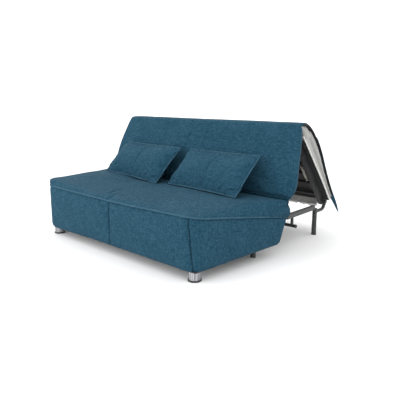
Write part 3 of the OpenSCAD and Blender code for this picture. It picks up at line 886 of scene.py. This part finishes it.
# Places on the back are x and distance up it
back_folds = [
    ((-0.05, 0.3), (0.13, 0.285), 0.01, 0.006),
    ((-0.05, 0.315), (0.07, 0.33), 0.012, 0.004),
    ((-0.06, 0.29), (-0.2, 0.27), 0.014, 0.0035),
    ((-0.052, 0.32), (-0.13, 0.4), 0.014, 0.003),
    ((-0.048, 0.32), (0.06, 0.41), 0.014, 0.003),
    ((0.66, 0.05), (0.52, 0.13), 0.02, 0.004),
    ((-0.64, 0.05), (-0.5, 0.13), 0.02, 0.004),
    ((0.64, 0.47), (0.48, 0.4), 0.022, 0.0025),
    ((-0.62, 0.47), (-0.47, 0.4), 0.022, 0.0025),
    ((0.56, 0.03), (0.3, 0.06), 0.014, 0.003),
]


def make_apex_mattress():
    """The foam under the cover at the apex."""
    path = apex_path()
    reach = distances(path)
    start = np.argmin(np.abs(path - on_back(0.0, back_len - 0.02, mattress_over)[1:]).sum(axis=1))
    outer = np.stack([np.interp(np.linspace(reach[start], reach[-1] - 0.02, 25), reach, path[:, k])
                      for k in (0, 1)], axis=-1)
    root_from = on_back(0.0, back_len - 0.03, mattress_under)[1:]
    root_to = on_rear(0.0, 0.075, mattress_under)[1:]
    centre = np.array([apex_hinge.y, apex_hinge.z + 0.016])
    inner = curve_through([root_from, centre, root_to], 25)
    box, faces = lattice(steps(2.0, 0.02, 0.03) - 1, np.linspace(0, 1, 25), np.linspace(0, 1, 8))
    station = np.round(box[:, 1] * 24).astype(int)
    through = outer[station] - inner[station]
    span = np.linalg.norm(through, axis=1, keepdims=True)
    place = inner[station] + through * box[:, 2:3] * (1 - (flap_t + 0.006) / span)
    half = mattress_half + 0.002 + 0.01 * np.sin(np.pi * box[:, 2])
    foam = make_piece("apex_mattress_ticking", np.column_stack([box[:, 0] * half, place]), faces, ticking)
    sides = smooth_step((np.abs(box[:, 0]) - 0.97) / 0.03)
    push(foam, sides * 0.004 * lumps(get_points(foam) * (0.2, 1, 0.4), 0.03, 31))
    declare(foam, None)
    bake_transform(foam)


make_back_mattress()
make_back_cover()
make_apex_mattress()

# ---- Rear: tapering mattress, the loose flap over it and the hem round its foot ----
# The flap's outer face, as distance down the rear section and height above it
flap_stops = [(0.077, 0.096), (0.163, 0.106), (0.263, 0.101), (0.391, 0.081), (0.502, 0.068),
              (0.627, 0.0615), (0.778, 0.051)]


def flap_height(along):
    stops = curve_through(flap_stops, 80)
    return np.interp(along, stops[:, 0], stops[:, 1])


side_names = {-1: "left", 1: "right"}


def edge_slack(along):
    """How far the ticking's edge sags below the rear frame, less and less towards its foot."""
    return 0.019 * np.clip(1 - along / 0.42, 0, 1)


def make_rear_mattress():
    size = (2 * mattress_half, rear_len - 0.055, 1.0)

    def warp(box):
        along = 0.06 + box[:, 1]
        over = flap_height(along) - flap_t - 0.003
        side = (box[:, 0] - mattress_half) * (1 + 0.01 / mattress_half)
        slack = smooth_step((np.abs(side) - 0.652) / 0.02) * edge_slack(along)
        return on_rear(side, along, mattress_under - slack + box[:, 2] * (over - mattress_under + slack))

    box, faces = lattice(steps(size[0], 0.02, 0.03), steps(size[1], 0.007, 0.02), np.linspace(0, 1, 14))
    under = faces_below(box, faces, 0.01)
    foam = make_piece("rear_mattress_ticking", warp(rounded(box, size, (0.01, 0.02, 0.12))), faces, ticking,
                      felt, under)
    places = get_points(foam)
    sides = smooth_step((np.abs(places[:, 0]) - mattress_half + 0.014) / 0.02)
    along, level = box[:, 1], box[:, 2]
    folds = 0.0055 * lumps(together(places[:, 0], along, level * 0.05), 0.03, 41) * (1 - level ** 6)
    sag = -0.022 * np.exp(-((level - 0.62 + 0.08 * np.sin(along * 9)) / 0.09) ** 2)
    push(foam, sides * (folds + sag) + (1 - sides) * 0.002 * lumps(places, 0.08, 42))
    declare(foam, "rear_section", replaces=["rear_mattress"])
    along = np.linspace(0.03, rear_len, 120)
    for side, side_name in side_names.items():
        route = on_rear(side * (mattress_half + 0.009), along, mattress_under + 0.003 - edge_slack(along))
        # The welt's brightened white is painted light.
        welt = tube("ticking_welt_" + side_name, route, 0.0045, hem_cotton_painted_light, ripple=0.3, seed=side)
        declare(welt, "rear_section")


def flap_grid(across, run_end):
    """Flap points as x, distance along the rear section and height above it, for shares of the width."""
    share, t = np.meshgrid(across, np.linspace(0, 1, 90), indexing="ij")
    run = flap_from + t * (run_end(np.abs(share)) - flap_from)
    loose = smooth_step((run - 0.5) / 0.27)
    x = share * flap_half + 0.003 * np.sin(run * 21) * loose * share
    spots = together(x, run, 0.0).reshape(-1, 3)
    wave = 0.0014 * lumps(spots, 0.18, 51).reshape(x.shape) * (0.3 + loose)
    wave = wave + 0.0004 * lumps(spots, 0.05, 52).reshape(x.shape)
    tucked = 0.0045 * (1 - smooth_step((run - 0.12) / 0.015))
    return x, run, flap_height(run) + wave * (1 - np.abs(share) ** 8) - tucked


flap_from, flap_to, tail_len = 0.1, 0.618, 0.158
tail_in = 0.655 / flap_half


def make_flap():
    """A quilted sheet with a petrol face and a black lining, and a narrow tail at each corner of its foot."""
    across = np.concatenate([np.linspace(0, 0.92, 76), np.linspace(0.928, 1.0, 13)])
    across = np.concatenate([-across[:0:-1], across])

    def foot(share):
        return flap_to + tail_len * smooth_step((share - tail_in) / (1 - tail_in))

    x, run, out = flap_grid(across, foot)
    face, middle = on_rear(x, run, out), on_rear(x, run, out - 0.45 * flap_t)
    flap = soften(shell("rear_flap", face, middle, petrol), 0.0015, 2)
    x, run, out = flap_grid(across, lambda share: 0.6 + 0 * share)
    upper, lower = on_rear(x, run, out - 0.46 * flap_t), on_rear(x, run, out - flap_t)
    under = soften(shell("flap_lining", upper, lower, lining), 0.0015, 2)
    declare(flap, "rear_section", replaces=["rear_flap"])
    declare(under, "rear_section")


foot_half = 0.606
foot_hem_r = 0.0098


def make_foot_hem():
    """The ticking's gathered hem, drawn round the foot end of the rear frame."""
    across = np.linspace(-1, 1, 240)
    around = curve_through([(rear_len + 0.006, 0.05), (rear_len + 0.016, 0.02), (rear_len + 0.02, -0.004),
                            (rear_len + 0.018, -0.022)], 14)
    share, stop = np.meshgrid(across, np.arange(14), indexing="ij")
    gather = stop / 13.0
    spots = together(share * foot_half, gather * 0.1, 0.0).reshape(-1, 3)
    ripple = lumps(spots * (1, 0.25, 1), 0.016, 61).reshape(share.shape)
    along = around[stop.astype(int), 0] + 0.0055 * ripple * (0.3 + gather)
    out = around[stop.astype(int), 1]
    outer = on_rear(share * foot_half, along + 0.003, out)
    inner = on_rear(share * foot_half, along - 0.0015, out)
    # The wrap and hem take the brightened white: painted light.
    wrap = shell("ticking_foot_wrap", outer, inner, hem_cotton_painted_light)
    declare(wrap, "rear_section")
    x = np.linspace(-foot_half, foot_half, 420)
    spots = together(x, 0.0, 0.0)
    along, out = 0.02 + 0.003 * lumps(spots, 0.014, 62), -0.024 + 0.003 * lumps(spots, 0.02, 63)
    route = on_rear(x, rear_len + along, out)
    hem = tube("ticking_foot_hem", route, foot_hem_r, hem_cotton_painted_light, sides=10, ripple=0.9, seed=4)
    declare(hem, "rear_section")


make_rear_mattress()
make_flap()
make_foot_hem()

# ---- Springs beside the rear frame ----
spring_x, spring_out = 0.6, -0.014
spring_from, spring_to = 0.286, 0.404
coil_r, coil_turns, wire_r = 0.0062, 26, 0.0014
eye_r, eye_wire_r = 0.0075, 0.0016


def make_springs():
    t = np.linspace(0, 1, coil_turns * 14)
    coil = coil_r * np.minimum(1, 8 * np.minimum(t, 1 - t) + 0.15)
    angle = math.tau * coil_turns * t
    along = spring_from + 0.012 + (spring_to - spring_from - 0.024) * t
    turn = np.linspace(0, math.tau, 25)[:-1]
    for side, side_name in side_names.items():
        name = "frame_spring_" + side_name
        route = on_rear(side * (spring_x + coil * np.cos(angle)), along, spring_out + coil * np.sin(angle))
        spring = tube(name, route, wire_r, cream, sides=6)
        declare(spring, "rear_section", replaces=["frame_springs"])
        for number, place in enumerate((spring_from, spring_to)):
            loop = on_rear(side * spring_x, place + eye_r * np.cos(turn), spring_out + eye_r * np.sin(turn))
            eye = tube(f"{name}_eye_{number}", loop, eye_wire_r, cream, sides=6, closed=True)
            declare(eye, "rear_section")


make_springs()

# ---- Pillows ----
pillow_l, pillow_h, pillow_t = 0.57, 0.3, 0.11
pillow_lean, pillow_turn = math.radians(46), math.radians(-5)


def simulate_pillow(cushion, rim, frames=24, pressure=16.0, cap=0.06, growth=0.09):
    """Blows a pillowcase up with cloth simulation, its seam held in place, and caps how far any point moves."""
    rest = get_points(cushion)
    cushion.vertex_groups.new(name="rim").add([int(k) for k in rim], 1.0, "REPLACE")
    cloth = cushion.modifiers.new("cloth", "CLOTH")
    settings = cloth.settings
    settings.quality = 6
    settings.mass = 0.25
    settings.tension_stiffness = settings.compression_stiffness = 12
    settings.shear_stiffness = 6
    settings.bending_stiffness = 0.4
    settings.shrink_min = settings.shrink_max = -growth
    settings.vertex_group_mass = "rim"
    settings.use_pressure = True
    settings.uniform_pressure_force = pressure
    settings.effector_weights.gravity = 0.0
    cloth.point_cache.frame_start, cloth.point_cache.frame_end = 1, frames
    for number in range(1, frames + 1):
        bpy.context.scene.frame_set(number)
    apply_modifiers(cushion)
    bpy.context.scene.frame_set(1)
    moved = get_points(cushion) - rest
    far = np.linalg.norm(moved, axis=1, keepdims=True)
    set_points(cushion, rest + moved * np.minimum(1, cap / np.maximum(far, 1e-9)))


def make_pillow(side, seed, nudge, roll, slump):
    """A pillow with a welted edge, lying slack against the back. slump lets its top sink to the left."""
    name, body = f"pillow_{side}_cushion", f"pillow_{side}_body"
    cols, rows = 97, 53
    share_x, share_y = np.meshgrid(np.linspace(-1, 1, cols), np.linspace(-1, 1, rows), indexing="ij")
    x = share_x * pillow_l / 2 * (1 - 0.012 * (1 - share_y ** 2) * share_x ** 4)
    y = share_y * pillow_h / 2 * (1 - 0.03 * (1 - share_x ** 2) * share_y ** 4)
    dome = 0.044 * ((1 - share_x ** 6) * (1 - share_y ** 4)) ** 0.38
    cushion = shell(name, together(x, y, dome + 0.001), together(x, y, -dome - 0.001), petrol)
    loop = np.array(rim_of(cols, rows))
    simulate_pillow(cushion, np.concatenate([loop, loop + x.size]))
    points = get_points(cushion)
    reach = np.abs(points).max(axis=0)
    points *= np.array([1, 1, min(1, pillow_t / 2 / reach[2])])
    upper = np.clip(points[:, 1], 0, None)
    points[:, 1] -= upper * (0.09 + slump * (0.5 - points[:, 0] / pillow_l))
    points[:, 2] += 0.0016 * lumps(points + np.array([seed, 0, 0]), 0.06, seed)
    set_points(cushion, points)
    rim = (points[loop] + points[loop + x.size]) / 2
    # The welt's lighter petrol is a painted highlight.
    welt = tube(name + "_welt", rim * (1.004, 1.006, 1), 0.0044, petrol_welt, sides=8, closed=True, ripple=0.25)
    turn = Matrix.Rotation(roll, 4, "Y") @ Matrix.Rotation(pillow_turn, 4, "Z") \
        @ Matrix.Rotation(pillow_lean, 4, "X")
    lift = abs(roll) * pillow_l / 2
    place = Matrix.Translation(Vector(joints[f"pillow_{side}_lift"]["pos_m"]) + Vector((nudge, 0, lift))) @ turn
    for piece in (cushion, welt):
        piece.data.transform(place)
    declare(cushion, body, replaces=[f"pillow_{side}"])
    declare(welt, body)


make_pillow("left", seed=71, nudge=0.034, roll=0.032, slump=0.13)
make_pillow("right", seed=72, nudge=0.0, roll=0.0, slump=0.03)
